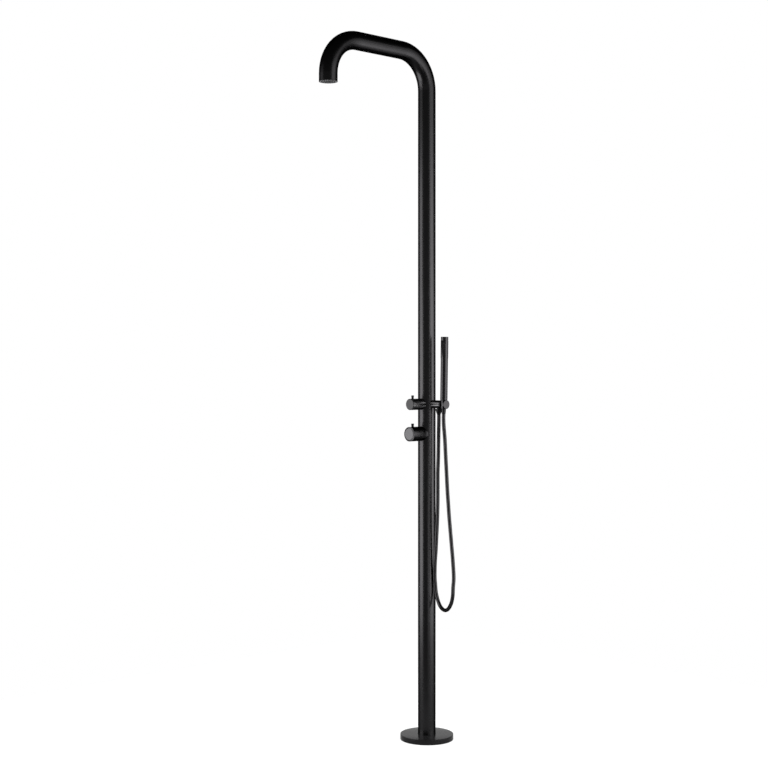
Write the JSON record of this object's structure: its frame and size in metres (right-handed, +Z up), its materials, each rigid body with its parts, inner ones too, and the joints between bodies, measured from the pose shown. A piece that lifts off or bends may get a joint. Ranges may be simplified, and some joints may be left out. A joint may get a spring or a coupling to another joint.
{
  "type": "freestanding shower",
  "caption": "Freestanding shower column with a bent arm and rain outlet, front mixer and diverter, and a stick hand shower on a hose in a side holder.",
  "frame": {"origin": "centre of the base on the floor, which is the centre of the floor bolts' circle", "axes": "+Z up along the column; the arm, the rain outlet and the controls point to -Y; the hand shower's holder points to +X"},
  "size_m": [0.2462, 0.566, 2.35],
  "materials": {
    "cover_black": "smooth satin black coating",
    "column_black": "smooth gloss black coating",
    "control_black": "smooth gloss black coating",
    "hand_shower_black": "gloss black",
    "hose_black": "smooth satin black",
    "flange_steel": "plain turned steel",
    "small_steel": "plain steel",
    "valve_brass": "cast and turned brass",
    "cartridge_white": "moulded",
    "pipe_white": "drawn plastic pipe",
    "seal_rubber": "moulded",
    "spray_grey": "fine moulded grain",
    "nub_grey": "soft moulded silicone"
  },
  "bodies": {
    "stand": {"floor_flange": "flange_steel", "base_cover": "cover_black", "cover_seal": "seal_rubber", "column_tube": "column_black", "column_lock_screw": "small_steel", "hot_inlet_nut": "valve_brass", "cold_inlet_nut": "valve_brass", "hot_supply_pipe": "pipe_white", "cold_supply_pipe": "pipe_white", "mixer_body": "valve_brass", "mixer_collar": "column_black", "mixer_cartridge": "cartridge_white", "mixer_retaining_ring": "valve_brass", "mixed_water_pipe": "pipe_white", "diverter_body": "valve_brass", "diverter_collar": "column_black", "diverter_cartridge": "cartridge_white", "diverter_retaining_ring": "valve_brass", "riser_pipe": "pipe_white", "rain_outlet_housing": "spray_grey", "rain_outlet_seal": "seal_rubber", "rain_spray_plate": "spray_grey", "rain_nub_mat": "nub_grey", "holder_bar": "column_black", "holder_cradle": "column_black", "hose_outlet_nipple": "control_black", "hose_outlet_nut": "control_black", "hose_outlet_washer": "seal_rubber", "hose_outlet_tail": "valve_brass", "shower_hose": "hose_black"},
    "mixer_control": {"mixer_handle": "control_black", "mixer_spindle": "small_steel", "mixer_lever_pin": "control_black", "mixer_grub_screw": "small_steel"},
    "diverter_control": {"diverter_knob": "control_black", "diverter_spindle": "small_steel", "diverter_lever_pin": "control_black", "diverter_grub_screw": "small_steel"},
    "hose_end": {"hand_hose_tail": "valve_brass"},
    "hand_shower": {"hand_hose_nut": "control_black", "hand_hose_washer": "seal_rubber", "hand_shower_body": "hand_shower_black", "hand_spray_plate": "hand_shower_black", "hand_nub_mat": "nub_grey", "hand_shower_crown": "hand_shower_black"}
  },
  "joints": [
    {"name": "mixer_turn", "type": "hinge", "parent": "stand", "child": "mixer_control", "pos_m": [0, -0.04, 1.037], "axis": [0, -1, 0], "range_deg": [0, 120]},
    {"name": "diverter_turn", "type": "hinge", "parent": "stand", "child": "diverter_control", "pos_m": [0, -0.04, 1.137], "axis": [0, 1, 0], "range_deg": [0, 90]},
    {"name": "hand_shower_lift", "type": "slide", "parent": "stand", "child": "hose_end", "axis": [0.0175, 0, 0.9998], "range_m": [0, 0.05], "deforming": ["shower_hose"]},
    {"name": "hand_shower_swivel", "type": "hinge", "parent": "hose_end", "child": "hand_shower", "pos_m": [0.08, 0, 1.137], "axis": [0.0175, 0, 0.9998], "continuous": true}
  ]
}
